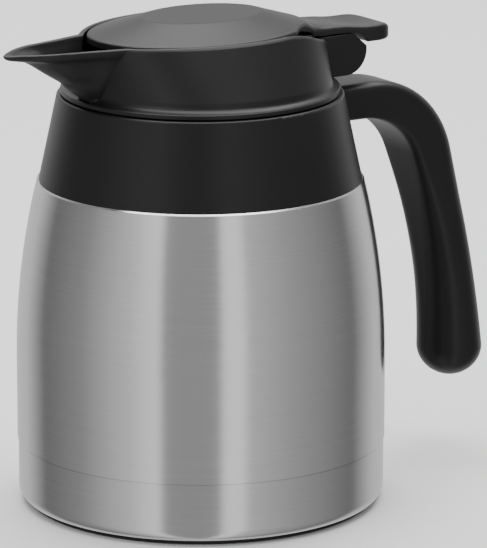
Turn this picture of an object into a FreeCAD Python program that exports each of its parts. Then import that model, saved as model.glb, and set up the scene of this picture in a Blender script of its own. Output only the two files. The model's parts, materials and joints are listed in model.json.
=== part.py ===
"""Lever-lid vacuum carafe with a screw lid, a spout, a thumb lever and a free-ended handle.

Frame: +Z up, origin on the vessel's axis where it stands, spout along -X, handle along +X.
All sizes are in millimetres and come from the spreadsheet "dims".
"""
import FreeCAD, Part
import math
import os
import re

import Sketcher
from FreeCAD import Placement, Rotation, Vector

DIMENSIONS = {
    # steel vessel
    "steel": 0.6, "body_radius": 65.0, "seam_height": 22.7, "curve_height": 52.0,
    "shoulder_curve": 266.6, "shoulder_radius": 57.4, "shoulder_height": 115.2,
    "shelf_radius": 47.0, "neck_foot": 119.5, "neck_radius": 41.5, "mouth_radius": 38.0,
    "mouth_height": 134.0, "mouth_lip": 1.2,
    "base_radius": 64.65, "base_corner": 4.0, "base_lap": 7.0, "base_recess": 2.5,
    "pad_radius": 61.2, "pad_thickness": 1.3, "hole_radius": 2.5,
    "liner_radius": 57.0, "liner_wall": 0.5, "liner_floor": 10.0, "liner_corner": 12.0,
    "liner_bend": 72.0, "liner_curve": 95.0, "getter_radius": 7.0, "getter_place": 25.0,
    # shoulder collar
    "collar_foot_radius": 56.6, "collar_foot": 115.7, "collar_radius": 50.3, "collar_top": 146.2,
    "collar_wall": 2.2, "bore_radius": 48.3, "collar_floor": 121.0, "collar_floor_wall": 3.0,
    # screw thread between collar and lid
    "thread_lead": 15.0, "thread_starts": 3.0, "thread_arc": 80.0, "thread_foot": 138.0,
    "rib_depth": 1.7, "rib_root": 2.2, "rib_crest": 1.3,
    # handle
    "arm_top": 143.0, "arm_thickness": 13.0, "handle_half_width": 11.5, "handle_wall": 3.0,
    "outer_turn_place": 67.0, "outer_turn": 38.0, "outer_lean": 15.95, "outer_bow": 650.0,
    "inner_turn_place": 63.0, "inner_turn": 24.0, "inner_lean": 20.0, "inner_bow": 194.0,
    "grip_end": 38.3, "grip_bottom": 27.6, "grip_tip": 12.0, "cover_thickness": 2.5,
    "cover_half_width": 8.0, "cover_start": 60.0, "cover_end": 52.0, "tongue_half_width": 5.5,
    "peg_radius": 1.8, "peg_upper": 105.0, "peg_lower": 62.0,
    # lid
    "lid_wall": 2.0, "skirt_radius": 45.9, "skirt_foot": 129.5, "flange_radius": 48.9,
    "flange_foot": 146.5, "flange_top": 148.4, "waist_radius": 45.8, "waist_height": 151.0,
    "rim_centre": 0.5, "rim_half_length": 46.0, "rim_half_width": 33.6, "rim_height": 169.0,
    "rim_dip": 14.0, "rim_shoulder": 28.0, "rim_shoulder_drop": 1.9, "lid_floor": 147.0,
    "lid_floor_wall": 3.0, "floor_bore": 37.0,
    "spout_tip": 80.1, "spout_spread": 2.55, "spout_root": 47.5, "spout_rim_height": 168.5,
    "spout_lip_place": 72.1, "spout_lip": 3.5, "spout_wall": 1.8,
    # stopper under the lid
    "stopper_radius": 36.5, "stopper_wall": 2.0, "stopper_foot": 124.0, "seat_radius": 12.0,
    "ledge_radius": 41.2, "ledge_height": 136.6, "ear_radius": 42.6, "ear_thickness": 3.0,
    "stopper_screw_place": 39.9, "screw_radius": 1.4, "screw_head_radius": 2.4,
    "screw_head": 1.8,
    # hinge and lever
    "hinge_place": 54.5, "hinge_height": 156.0, "lug_radius": 8.8, "lug_half_width": 11.5,
    "lug_wall": 2.2, "lug_root": 43.0, "lug_top": 162.3, "notch_height": 160.6,
    "pin_radius": 2.0, "pin_gap": 0.05,
    "dome_centre": -1.3, "dome_half_length": 40.8, "dome_half_width": 31.2, "dome_foot": 167.0,
    "dome_edge": 168.6, "facet_centre": 0.7, "facet_half_length": 22.8,
    "facet_half_width": 16.3, "facet_height": 173.8, "shell": 2.0,
    "tab_end": 76.4, "tab_half_width": 12.0, "tab_height": 163.8, "tab_foot": 158.3,
    "neck_half_width": 11.3, "neck_start": 18.0, "neck_root_half": 27.0, "neck_crest": 36.6,
    "plate_foot": 161.4, "plate_thickness": 1.4, "plate_half_width": 8.0, "plate_end": 20.0,
    # valve
    "stem_radius": 3.0, "stem_foot": 121.0, "stem_top": 161.0, "fork_pin_height": 157.0,
    "fork_pin_radius": 1.2, "fork_pin_half": 7.0, "valve_radius": 15.5, "valve_foot": 127.6,
    "valve_thickness": 2.0, "gasket_thickness": 1.4, "seal_gap": 0.2, "guide_height": 144.0,
    "spring_radius": 6.6, "wire_radius": 0.6, "spring_turns": 5.0,
}

doc = FreeCAD.newDocument("carafe")
dims = doc.addObject("Spreadsheet::Sheet", "dims")
for row, (alias, number) in enumerate(DIMENSIONS.items(), 1):
    dims.set("A%d" % row, alias)
    dims.set("B%d" % row, str(number))
    dims.setAlias("B%d" % row, alias)
doc.recompute()

WORD = re.compile(r"[a-z]+(?:_[a-z]+)*")
nodes = []


def bound(text):
    """The same formula with every cell's alias led by the sheet's name."""
    return WORD.sub(lambda m: "dims." + m[0] if m[0] in DIMENSIONS else m[0], str(text))


def value(text):
    """The number that a formula of cells gives now."""
    return float(dims.evalExpression(bound(text)))


def bind(thing, **formulas):
    """Bind properties to formulas; a double underscore stands for a dot."""
    for name, text in formulas.items():
        thing.setExpression(name.replace("__", "."), bound(text))
    return thing


def place(thing, x=0, y=0, z=0, rotation=None):
    if rotation is not None:
        thing.Placement = Placement(Vector(), rotation)
    return bind(thing, Placement__Base__x=x, Placement__Base__y=y, Placement__Base__z=z)


def node(label, thing):
    thing.Label = label
    nodes.append(thing)
    return thing


# ---------------------------------------------------------------- sketches

SIDE = Rotation(Vector(1, 0, 0), 90)          # sketch x along X, sketch y along Z
ACROSS = Rotation(Vector(1, 1, 1), 120)       # sketch x along Y, sketch y along Z


def draw(sketch, outline):
    """Close an outline of (x, y) or (x, y, radius) corners, each a formula.

    A radius makes the stretch to the next corner an arc: positive turns left, negative right.
    """
    corners = [(value(corner[0]), value(corner[1])) for corner in outline]
    for i, corner in enumerate(outline):
        (x0, y0), (x1, y1) = corners[i], corners[(i + 1) % len(outline)]
        if len(corner) == 2:
            sketch.addGeometry(Part.LineSegment(Vector(x0, y0, 0), Vector(x1, y1, 0)), False)
            continue
        radius = value(corner[2])
        half = math.hypot(x1 - x0, y1 - y0) / 2
        rise = math.sqrt(radius ** 2 - half ** 2) * math.copysign(1, radius)
        centre = Vector((x0 + x1) / 2 - rise * (y1 - y0) / (2 * half),
                        (y0 + y1) / 2 + rise * (x1 - x0) / (2 * half), 0)
        first = math.atan2(y0 - centre.y, x0 - centre.x)
        last = math.atan2(y1 - centre.y, x1 - centre.x)
        if radius < 0:
            first, last = last, first
        circle = Part.Circle(centre, Vector(0, 0, 1), abs(radius))
        sketch.addGeometry(Part.ArcOfCircle(circle, first, last), False)
    starts = [2 if len(c) == 3 and value(c[2]) < 0 else 1 for c in outline]
    for i, corner in enumerate(outline):
        following = (i + 1) % len(outline)
        sketch.addConstraint(Sketcher.Constraint("Coincident", i, 3 - starts[i],
                                                 following, starts[following]))
        for kind, text, number, axis in (("DistanceX", corner[0], corners[i][0], -2),
                                         ("DistanceY", corner[1], corners[i][1], -1)):
            if text == 0:
                sketch.addConstraint(Sketcher.Constraint("PointOnObject", i, starts[i], axis))
                continue
            index = sketch.addConstraint(Sketcher.Constraint(kind, i, starts[i], number))
            sketch.setExpression("Constraints[%d]" % index, bound(text))
        if len(corner) == 3:
            size = abs(value(corner[2]))
            index = sketch.addConstraint(Sketcher.Constraint("Radius", i, size))
            sketch.setExpression("Constraints[%d]" % index, "abs(%s)" % bound(corner[2]))
    return sketch


def free_sketch(name, outline, rotation, **position):
    sketch = doc.addObject("Sketcher::SketchObject", name)
    place(sketch, rotation=rotation, **position)
    return draw(sketch, outline)


# ---------------------------------------------------------------- solids

def turned(name, outline, angle=360):
    """A body turned about the vessel's axis from an outline of radius and height."""
    body = doc.addObject("PartDesign::Body", name)
    plane = next(f for f in body.Origin.OriginFeatures if f.Role == "XZ_Plane")
    sketch = body.newObject("Sketcher::SketchObject", name + "_outline")
    sketch.AttachmentSupport = (plane, [""])
    sketch.MapMode = "FlatFace"
    draw(sketch, outline)
    turn = body.newObject("PartDesign::Revolution", name + "_turn")
    turn.Profile = sketch
    turn.ReferenceAxis = (sketch, ["V_Axis"])
    turn.Angle = angle
    body.Tip = turn
    return body


def ring(name, inner, outer, foot, top):
    return turned(name, [(inner, foot), (outer, foot), (outer, top), (inner, top)])


def slab(name, outline, half_width):
    """An outline in X and Z, extruded to both sides of the plane of symmetry."""
    solid = doc.addObject("Part::Extrusion", name)
    solid.Base = free_sketch(name + "_outline", outline, SIDE)
    solid.DirMode = "Normal"
    solid.Solid = True
    solid.Symmetric = True
    return bind(solid, LengthFwd="2 * (%s)" % half_width)


def plan(name, outline, foot, height):
    """An outline in X and Y, extruded upwards."""
    solid = doc.addObject("Part::Extrusion", name)
    solid.Base = free_sketch(name + "_outline", outline, Rotation(), z=foot)
    solid.DirMode = "Normal"
    solid.Solid = True
    return bind(solid, LengthFwd=height)


def oval(name, half_length, half_width, x, z):
    """A level ellipse, longer along X."""
    ring_line = doc.addObject("Part::Ellipse", name)
    bind(ring_line, MajorRadius=half_length, MinorRadius=half_width)
    return place(ring_line, x=x, z=z)


def lofted(name, sections):
    loft = doc.addObject("Part::Loft", name)
    loft.Sections = sections
    loft.Solid = True
    loft.Ruled = True
    return loft


def box(name, x, y, z, length, width, height):
    solid = doc.addObject("Part::Box", name)
    bind(solid, Length=length, Width=width, Height=height)
    return place(solid, x, y, z)


def rod(name, radius, length, x=0, y=0, z=0, along="Z"):
    turns = {"X": Rotation(Vector(0, 1, 0), 90), "Y": Rotation(Vector(1, 0, 0), -90),
             "Z": Rotation()}
    solid = doc.addObject("Part::Cylinder", name)
    bind(solid, Radius=radius, Height=length)
    return place(solid, x, y, z, turns[along])


def fuse(name, *solids):
    union = doc.addObject("Part::MultiFuse", name)
    union.Shapes = list(solids)
    return union


def cut(name, base, *tools):
    result = doc.addObject("Part::Cut", name)
    result.Base = base
    result.Tool = tools[0] if len(tools) == 1 else fuse(name + "_tools", *tools)
    return result


def common(name, first, second):
    result = doc.addObject("Part::Common", name)
    result.Base, result.Tool = first, second
    return result


def group(name, solids):
    """Separate identical solids kept as one node."""
    result = doc.addObject("Part::Compound", name)
    result.Links = solids
    return result


def rounded(name, base, radius, wanted):
    """Round the edges of a solid for which wanted(edge) holds."""
    doc.recompute()
    chosen = [(i, radius, radius) for i, edge in enumerate(base.Shape.Edges, 1) if wanted(edge)]
    result = doc.addObject("Part::Fillet", name)
    result.Base = base
    result.Edges = chosen
    return result


def screw(name, x, y, seat, tip):
    """A screw driven upwards: the head bears on the height seat, the point is at the height tip."""
    return fuse(name, rod(name + "_head", "screw_head_radius", "screw_head", x, y,
                          seat + " - screw_head"),
                rod(name + "_shank", "screw_radius", "%s - (%s)" % (tip, seat), x, y, seat))


def thread_ribs(name, root, crest, foot):
    """Short helical ribs, one for each start, from a root radius to a crest radius."""
    ribs = []
    starts = int(DIMENSIONS["thread_starts"])
    for start in range(starts):
        spin = Rotation(Vector(0, 0, 1), 360 * start / starts)
        helix = doc.addObject("Part::Helix", "%s_helix_%d" % (name, start))
        bind(helix, Pitch="thread_lead", Radius=root, Height="thread_lead * thread_arc / 360")
        place(helix, z=foot, rotation=spin)
        inward = value(crest) < value(root)
        buried = "%s %s 0.4" % (root, "+" if inward else "-")
        section = [(buried, "-rib_root / 2"), (crest, "-rib_crest / 2"),
                   (crest, "rib_crest / 2"), (buried, "rib_root / 2")]
        rib = doc.addObject("Part::Sweep", "%s_%d" % (name, start))
        rib.Sections = [free_sketch("%s_section_%d" % (name, start), section,
                                    spin.multiply(SIDE), z=foot)]
        rib.Spine = (helix, ["Edge1"])
        rib.Solid = True
        rib.Frenet = True
        ribs.append(rib)
    return ribs


# ---------------------------------------------------------------- steel vessel

def make_outer_shell():
    node("outer_shell", turned("outer_shell", [
        ("body_radius", "seam_height"),
        ("body_radius", "curve_height", "shoulder_curve"),
        ("shoulder_radius", "shoulder_height"),
        ("shoulder_radius - 0.5", "collar_foot"),
        ("shelf_radius", "collar_foot"),
        ("neck_radius", "neck_foot"),
        ("neck_radius", "mouth_height - 1.6"),
        ("neck_radius + mouth_lip", "mouth_height - 1.2"),
        ("neck_radius + mouth_lip", "mouth_height - 0.4"),
        ("neck_radius + mouth_lip - 0.4", "mouth_height"),
        ("mouth_radius + liner_wall", "mouth_height"),
        ("mouth_radius + liner_wall", "mouth_height - steel"),
        ("neck_radius - steel", "mouth_height - steel"),
        ("neck_radius - steel", "neck_foot"),
        ("shelf_radius", "collar_foot - steel"),
        ("shoulder_radius - steel - 0.3", "collar_foot - steel"),
        ("shoulder_radius - steel", "shoulder_height - steel", "-shoulder_curve"),
        ("body_radius - steel", "curve_height"),
        ("body_radius - steel", "seam_height"),
    ]))


def make_base_cup():
    inside = "body_radius - steel - 0.05"
    node("base_cup", turned("base_cup", [
        ("hole_radius", "pad_thickness + base_recess"),
        ("pad_radius - 10", "pad_thickness + base_recess"),
        ("pad_radius - 8", "pad_thickness"),
        ("base_radius - base_corner", "pad_thickness", "base_corner"),
        ("base_radius", "pad_thickness + base_corner"),
        ("base_radius", "seam_height - 0.4"),
        (inside, "seam_height - 0.4"),
        (inside, "seam_height + base_lap"),
        (inside + " - steel", "seam_height + base_lap"),
        (inside + " - steel", "seam_height - 1"),
        ("base_radius - steel", "seam_height - 1.6"),
        ("base_radius - steel", "pad_thickness + base_corner", "-(base_corner - steel)"),
        ("base_radius - base_corner", "pad_thickness + steel"),
        ("pad_radius - 7.6", "pad_thickness + steel"),
        ("pad_radius - 9.6", "pad_thickness + base_recess + steel"),
        ("hole_radius", "pad_thickness + base_recess + steel"),
    ]))


def make_liner():
    lower, upper = "liner_floor + liner_corner", "liner_bend"
    inner, outer = "mouth_radius", "mouth_radius + liner_wall"
    node("inner_liner", turned("inner_liner", [
        (0, "liner_floor"),
        ("liner_radius + liner_wall - liner_corner", "liner_floor", "liner_corner"),
        ("liner_radius + liner_wall", lower),
        ("liner_radius + liner_wall", upper, "liner_curve"),
        ("liner_radius - 4.6", "shoulder_height - 13"),
        (outer, "shoulder_height - 2"),
        (outer, "mouth_height"),
        (inner, "mouth_height"),
        (inner, "shoulder_height - 2.3"),
        ("liner_radius - 5.1", "shoulder_height - 13.2", "-liner_curve"),
        ("liner_radius", upper),
        ("liner_radius", lower, "-(liner_corner - liner_wall)"),
        ("liner_radius + liner_wall - liner_corner", "liner_floor + liner_wall"),
        (0, "liner_floor + liner_wall"),
    ]))


def make_vacuum_parts():
    foil = "liner_radius + liner_wall + 0.3"
    node("reflective_foil", ring("reflective_foil", foil, foil + " + 0.2",
                                 "liner_floor + liner_corner + 1", "liner_bend - 2"))
    floor = "pad_thickness + base_recess"
    node("getter_capsule", rod("getter_capsule", "getter_radius", 3, "getter_place", 0,
                               floor + " + steel"))
    node("evacuation_seal", turned("evacuation_seal", [
        (0, floor + " - 1.4"), (3.5, floor + " - 1.2"), (5, floor + " - 0.5"), (5, floor),
        ("hole_radius", floor), ("hole_radius", floor + " + steel + 0.4"),
        (0, floor + " + steel + 0.6"),
    ]))


def make_foot_pad():
    node("foot_pad", turned("foot_pad", [
        (0, 0), ("pad_radius - 0.4", 0), ("pad_radius", 0.4), ("pad_radius", "pad_thickness"),
        ("pad_radius - 8.1", "pad_thickness"),
        ("pad_radius - 10.1", "pad_thickness + base_recess - 0.05"),
        (12, "pad_thickness + base_recess - 0.05"), (12, 1.6), (0, 1.6),
    ]))


# ---------------------------------------------------------------- collar and handle

def make_collar():
    slope = "(collar_foot_radius - collar_radius) / (collar_top - collar_foot)"
    hollow_top = "collar_floor + 12"
    cone = turned("collar_cone", [
        ("collar_foot_radius", "collar_foot"),
        ("collar_radius", "collar_top - 1", "1"),
        ("collar_radius - 1", "collar_top"),
        ("bore_radius + 0.4", "collar_top"),
        ("bore_radius", "collar_top - 0.4"),
        ("bore_radius", "collar_floor + collar_floor_wall"),
        ("neck_radius + 0.4", "collar_floor + collar_floor_wall"),
        ("neck_radius + 0.4", "collar_floor"),
        ("bore_radius + collar_wall", "collar_floor"),
        ("bore_radius + collar_wall", hollow_top),
        ("collar_foot_radius - collar_wall - (%s - collar_foot) * %s" % (hollow_top, slope),
         hollow_top),
        ("collar_foot_radius - collar_wall", "collar_foot"),
    ])
    ribs = thread_ribs("collar_thread", "bore_radius", "bore_radius - rib_depth", "thread_foot")
    tongue = box("collar_tongue", "bore_radius + 1", "-tongue_half_width",
                 "arm_top - arm_thickness + cover_thickness + 0.6",
                 "inner_turn_place + 3 - bore_radius", "2 * tongue_half_width",
                 "arm_thickness - cover_thickness - handle_wall - 1")
    holes = [rod("tongue_hole_%d" % i, "screw_radius", 12, x, y, "arm_top - arm_thickness")
             for i, (x, y) in enumerate(handle_screw_places())]
    whole = fuse("collar_whole", cone, tongue, *ribs)
    node("shoulder_collar", cut("shoulder_collar", whole, *holes))


def handle_screw_places():
    return [("collar_radius + 6.3", "-2.9"), ("collar_radius + 6.3", "2.9")]


def make_neck_rings():
    seat = "collar_floor + collar_floor_wall"
    node("collar_gasket", ring("collar_gasket", "neck_radius", "neck_radius + 2.6",
                               seat, seat + " + 1.8"))
    node("collar_retaining_ring", turned("collar_retaining_ring", [
        ("neck_radius", seat + " + 1.8"), ("neck_radius + 3", seat + " + 1.8"),
        ("neck_radius + 3", seat + " + 3.2"), ("neck_radius", seat + " + 3.2"),
    ], angle=342))


def outer_line(inset):
    """Corner, lean point and height formula of the handle's outer line, moved in by inset."""
    turn = "(outer_turn - %s)" % inset
    lean_x = "outer_turn_place + %s * cos(outer_lean * 1 deg)" % turn
    lean_z = "arm_top - outer_turn + %s * sin(outer_lean * 1 deg)" % turn
    centre_x = "(outer_turn_place + (outer_turn - outer_bow) * cos(outer_lean * 1 deg))"
    centre_z = "(arm_top - outer_turn + (outer_turn - outer_bow) * sin(outer_lean * 1 deg))"
    bow = "(outer_bow - %s)" % inset
    return turn, lean_x, lean_z, lambda height: "%s + sqrt(%s^2 - (%s - %s)^2)" % (
        centre_x, bow, height, centre_z)


def inner_line(inset):
    """The same for the finger side, moved into the handle by inset."""
    turn = "(inner_turn + %s)" % inset
    centre = "(arm_top - arm_thickness - inner_turn)"
    lean_x = "inner_turn_place + %s * cos(inner_lean * 1 deg)" % turn
    lean_z = "%s + %s * sin(inner_lean * 1 deg)" % (centre, turn)
    centre_x = "(inner_turn_place + (inner_turn - inner_bow) * cos(inner_lean * 1 deg))"
    centre_z = "(%s + (inner_turn - inner_bow) * sin(inner_lean * 1 deg))" % centre
    bow = "(inner_bow + %s)" % inset
    return turn, lean_x, lean_z, lambda height: "%s + sqrt(%s^2 - (%s - %s)^2)" % (
        centre_x, bow, height, centre_z)


def handle_outline(start, outer_inset, inner_inset, outer_end, inner_end, tip=()):
    """The handle's side view from the arm's start, down the outside and up the finger side."""
    outer_turn, outer_x, outer_z, outer_at = outer_line(outer_inset)
    inner_turn, inner_x, inner_z, inner_at = inner_line(inner_inset)
    top = "arm_top - %s" % outer_inset
    under = "arm_top - arm_thickness + %s" % inner_inset
    return [
        (start, top),
        ("outer_turn_place", top, "-" + outer_turn),
        (outer_x, outer_z, "-(outer_bow - %s)" % outer_inset),
        (outer_at(outer_end), outer_end) + (("-grip_tip",) if tip else ()),
        *[corner + ("-grip_tip",) for corner in tip],
        (inner_at(inner_end), inner_end, "inner_bow + %s" % inner_inset),
        (inner_x, inner_z, inner_turn),
        ("inner_turn_place", under),
        (start, under),
    ]


def cover_outline():
    """The strip on the finger side, from the arm's underside down the grip."""
    turn_a, x_a, z_a, at_a = inner_line(0)
    turn_b, x_b, z_b, at_b = inner_line("cover_thickness")
    under = "arm_top - arm_thickness"
    return [
        ("cover_start", under + " + cover_thickness"),
        ("inner_turn_place", under + " + cover_thickness", "-" + turn_b),
        (x_b, z_b, "-(inner_bow + cover_thickness)"),
        (at_b("cover_end"), "cover_end"),
        (at_a("cover_end"), "cover_end", "inner_bow"),
        (x_a, z_a, turn_a),
        ("inner_turn_place", under),
        ("cover_start", under),
    ]


def make_handle():
    _, _, _, outer_at = outer_line(0)
    _, _, _, inner_at = inner_line(0)
    middle = "(%s + %s) / 2" % (outer_at("grip_end"), inner_at("grip_end"))
    solid = slab("handle_solid", handle_outline(
        "bore_radius - 2", 0, 0, "grip_end", "grip_end",
        tip=[(middle, "grip_bottom")]), "handle_half_width")
    side = value("handle_half_width")
    lower = value("collar_radius") + 3
    soft = rounded("handle_soft", solid, 5.0,
                   lambda edge: edge.BoundBox.YLength < 0.01
                   and abs(abs(edge.BoundBox.YMin) - side) < 0.01
                   and edge.BoundBox.XMax > lower)
    cavity = slab("handle_cavity", handle_outline(
        "bore_radius - 2", "handle_wall", "cover_thickness", "cover_end + 4", "cover_end + 4"),
        "cover_half_width - 2")
    strip = slab("cover_strip", cover_outline(), "cover_half_width")
    collar_cone = doc.addObject("Part::Cone", "collar_outside")
    bind(collar_cone, Radius1="collar_foot_radius", Radius2="collar_radius",
         Height="collar_top - collar_foot")
    place(collar_cone, z="collar_foot")
    seat = "arm_top - arm_thickness + 1.9"
    screw_ways = [rod("%s_%d" % (name, i), radius, height, x, y, "arm_top - arm_thickness - 0.1")
                  for name, radius, height in (("head_way", "screw_head_radius + 0.1", 2),
                                               ("shank_way", "screw_radius", 5))
                  for i, (x, y) in enumerate(handle_screw_places())]
    posts, pegs = [], []
    for i, height in enumerate(["peg_upper", "peg_lower"]):
        back = inner_at(height) + " + cover_thickness"
        depth = "%s - (%s) - 1" % (outer_at(height), back)
        posts.append(rod("socket_post_%d" % i, "peg_radius + 1.4", depth, back, 0, height,
                         along="X"))
        pegs.append(rod("cover_peg_%d" % i, "peg_radius", 6.5, back + " - 1", 0, height,
                        along="X"))
    hollow = cut("handle_hollow", soft, cavity, strip, collar_cone, *screw_ways)
    node("handle_shell", cut("handle_shell", fuse("handle_posts", hollow, *posts), strip,
                             *pegs))
    node("handle_inner_cover", fuse("handle_inner_cover", slab(
        "inner_cover", cover_outline(), "cover_half_width"), *pegs))
    node("handle_fixing_screws", group("handle_fixing_screws", [
        screw("fixing_screw_%d" % i, x, y, seat, "arm_top - 3.6")
        for i, (x, y) in enumerate(handle_screw_places())]))


# ---------------------------------------------------------------- lid

def spout_section(name, place_x, inset, keel_half, keel, top):
    """One cross section of the spout: wide at the rim, narrow at the keel."""
    half = "spout_spread * sqrt(spout_tip - (%s)) - %s" % (place_x, inset)
    return free_sketch(name, [("-(%s)" % half, top), ("-(%s)" % keel_half, keel),
                              (keel_half, keel), (half, top)], ACROSS, x="-(%s)" % place_x)


def spout_solid():
    lip_foot = "spout_rim_height - spout_lip"
    return lofted("spout_outside", [
        spout_section("spout_a", "floor_bore + 1", 0, 7, "flange_top", "spout_rim_height"),
        spout_section("spout_b", "spout_root", 0, 6.5, "flange_top", "spout_rim_height"),
        spout_section("spout_c", "spout_lip_place", 0, 1.8, lip_foot, "spout_rim_height"),
        spout_section("spout_d", "spout_tip - 2.5", 0, 1.4, lip_foot + " + 1.1",
                      "spout_rim_height"),
        spout_section("spout_e", "spout_tip - 0.2", 0, 0.5, lip_foot + " + 2.2",
                      "spout_rim_height - 0.4"),
    ])


def spout_channel():
    above = "spout_rim_height + 4"
    floor = "lid_floor + lid_floor_wall"
    return lofted("spout_channel", [
        spout_section("channel_a", "lug_root - 9", "spout_wall", 6, floor, above),
        spout_section("channel_b", "spout_root - 1", "spout_wall", 5, floor + " + 1.2", above),
        spout_section("channel_c", "spout_lip_place - 1.5", "spout_wall", 1,
                      "spout_rim_height - 2.2", above),
        spout_section("channel_d", "spout_tip - 4", "spout_wall", 0.4, "spout_rim_height - 1",
                      above),
    ])


def lid_wall():
    """A skirt and flange turned about the axis, and a wall that goes from round to oval."""
    floor_top = "lid_floor + lid_floor_wall"
    lower = turned("lid_lower", [
        ("skirt_radius - lid_wall", "skirt_foot"),
        ("skirt_radius", "skirt_foot"),
        ("skirt_radius", "flange_foot"),
        ("flange_radius", "flange_foot"),
        ("flange_radius", "flange_top - 0.4"),
        ("flange_radius - 0.4", "flange_top", "-3"),
        ("waist_radius", "waist_height"),
        ("floor_bore", "waist_height"),
        ("floor_bore", "lid_floor"),
        ("skirt_radius - lid_wall", "lid_floor"),
    ])
    upper = lofted("lid_upper", [
        oval("waist_line", "waist_radius", "waist_radius", 0, "waist_height"),
        oval("rim_line", "rim_half_length", "rim_half_width", "rim_centre", "rim_height"),
    ])
    inner_length, inner_width = "rim_half_length - lid_wall", "rim_half_width - lid_wall"
    chamber = lofted("lid_chamber", [
        oval("chamber_foot", "waist_radius - lid_wall", "waist_radius - lid_wall", 0, floor_top),
        oval("chamber_rim", inner_length, inner_width, "rim_centre", "rim_height"),
        oval("chamber_top", inner_length, inner_width, "rim_centre", "rim_height + 6"),
    ])
    return lower, upper, chamber


def make_lid_body():
    lower, upper, chamber = lid_wall()
    lug = slab("hinge_lug", [
        ("lug_root - 1", "hinge_height - lug_radius"),
        ("hinge_place", "hinge_height - lug_radius", "lug_radius"),
        ("hinge_place + lug_radius", "hinge_height"),
        ("hinge_place + lug_radius", "hinge_height + 1.4"),
        ("hinge_place + 3", "lug_top"),
        ("lug_root - 1", "lug_top"),
    ], "lug_half_width")
    pocket = slab("lug_pocket", [
        ("waist_radius + 1.2", "hinge_height - lug_radius + 2"),
        ("hinge_place", "hinge_height - lug_radius + 2", "lug_radius - 2"),
        ("hinge_place + lug_radius - 2", "hinge_height"),
        ("hinge_place + lug_radius - 2", "lug_top + 6"),
        ("waist_radius + 1.2", "lug_top + 6"),
    ], "lug_half_width - lug_wall")
    above_rim = slab("above_rim", [
        ("rim_dip", "rim_height"), ("rim_shoulder", "rim_height - rim_shoulder_drop"),
        ("lug_root + 0.5", "lug_top"), ("waist_radius + 2", "lug_top"),
        ("waist_radius + 2", "rim_height + 5"), ("rim_dip", "rim_height + 5"),
    ], "flange_radius")
    notch = box("plate_notch", "lug_root - 5", "lug_wall - lug_half_width", "notch_height",
                "waist_radius - lug_root + 8", "2 * (lug_half_width - lug_wall)", 10)
    pin_way = rod("pin_way", "pin_radius", "2 * lug_half_width - 2.2", "hinge_place",
                  "1 - lug_half_width", "hinge_height", along="Y")
    plug_way = rod("plug_way", "pin_radius + 0.4", 1.4, "hinge_place", "lug_half_width - 1.2",
                   "hinge_height", along="Y")
    holes = [rod("lid_screw_hole_%d" % i, "screw_radius", 2.6, x, y, "lid_floor")
             for i, (x, y) in enumerate(stopper_screw_places())]
    ribs = thread_ribs("lid_thread", "skirt_radius", "skirt_radius + rib_depth",
                       "thread_foot - thread_lead / thread_starts / 2")
    outside = fuse("lid_outside", lower, upper, spout_solid(), lug, *ribs)
    node("lid_body", cut("lid_body", outside, chamber, spout_channel(), pocket, notch, above_rim,
                         pin_way, plug_way, *holes))


def stopper_screw_places():
    return [("stopper_screw_place * cos(%d deg)" % turn, "stopper_screw_place * sin(%d deg)" % turn)
            for turn in (60, 180, 300)]


def make_stopper():
    bowl = turned("stopper_bowl", [
        ("seat_radius", "stopper_foot"),
        ("stopper_radius - 1.5", "stopper_foot"),
        ("stopper_radius", "stopper_foot + 1.5"),
        ("stopper_radius", "ledge_height"),
        ("ledge_radius", "ledge_height"),
        ("ledge_radius", "ledge_height + 2"),
        ("stopper_radius", "ledge_height + 2"),
        ("stopper_radius", "lid_floor - ear_thickness"),
        ("ear_radius", "lid_floor - ear_thickness"),
        ("ear_radius", "lid_floor"),
        ("floor_bore", "lid_floor"),
        ("floor_bore", "lid_floor + lid_floor_wall"),
        ("stopper_radius - stopper_wall", "lid_floor + lid_floor_wall"),
        ("stopper_radius - stopper_wall", "stopper_foot + stopper_wall"),
        ("seat_radius", "stopper_foot + stopper_wall"),
    ])
    holes = [rod("ear_hole_%d" % i, "screw_radius", "ear_thickness", x, y,
                 "lid_floor - ear_thickness")
             for i, (x, y) in enumerate(stopper_screw_places())]
    node("stopper", cut("stopper", bowl, *holes))
    node("stopper_screws", group("stopper_screws", [
        screw("stopper_screw_%d" % i, x, y, "lid_floor - ear_thickness", "lid_floor + 2.4")
        for i, (x, y) in enumerate(stopper_screw_places())]))
    node("mouth_gasket", ring("mouth_gasket", "stopper_radius + seal_gap",
                              "ledge_radius - seal_gap", "mouth_height + seal_gap",
                              "ledge_height - seal_gap"))


def make_stem_guide():
    inner = "stopper_radius - stopper_wall"
    rim = ring("guide_rim", inner + " - 3", inner, "guide_height + 1", "guide_height + 3")
    hub = turned("guide_hub", [
        ("stem_radius + pin_gap", "guide_height"), ("spring_radius + 1", "guide_height"),
        ("spring_radius + 1", "guide_height + 1.6"), ("stem_radius + 3", "guide_height + 1.6"),
        ("stem_radius + 3", "guide_height + 5"), ("stem_radius + pin_gap", "guide_height + 5"),
    ])
    arms = []
    for i in range(3):
        turn = 120 * i
        arm = doc.addObject("Part::Box", "guide_arm_%d" % i)
        bind(arm, Length=inner + " - 6.5", Width=4, Height=2)
        place(arm, "5 * cos(%d deg) + 2 * sin(%d deg)" % (turn, turn),
              "5 * sin(%d deg) - 2 * cos(%d deg)" % (turn, turn), "guide_height + 1",
              Rotation(Vector(0, 0, 1), turn))
        arms.append(arm)
    node("stem_guide", fuse("stem_guide", rim, hub, *arms))


def make_hinge():
    node("hinge_pin", rod("hinge_pin", "pin_radius", "2 * lug_half_width - 2.2", "hinge_place",
                          "-(lug_half_width - 1)", "hinge_height", along="Y"))
    node("hinge_pin_plug", rod("hinge_pin_plug", "pin_radius + 0.4", 1.2, "hinge_place",
                               "lug_half_width - 1.2", "hinge_height", along="Y"))


# ---------------------------------------------------------------- lever

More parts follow.
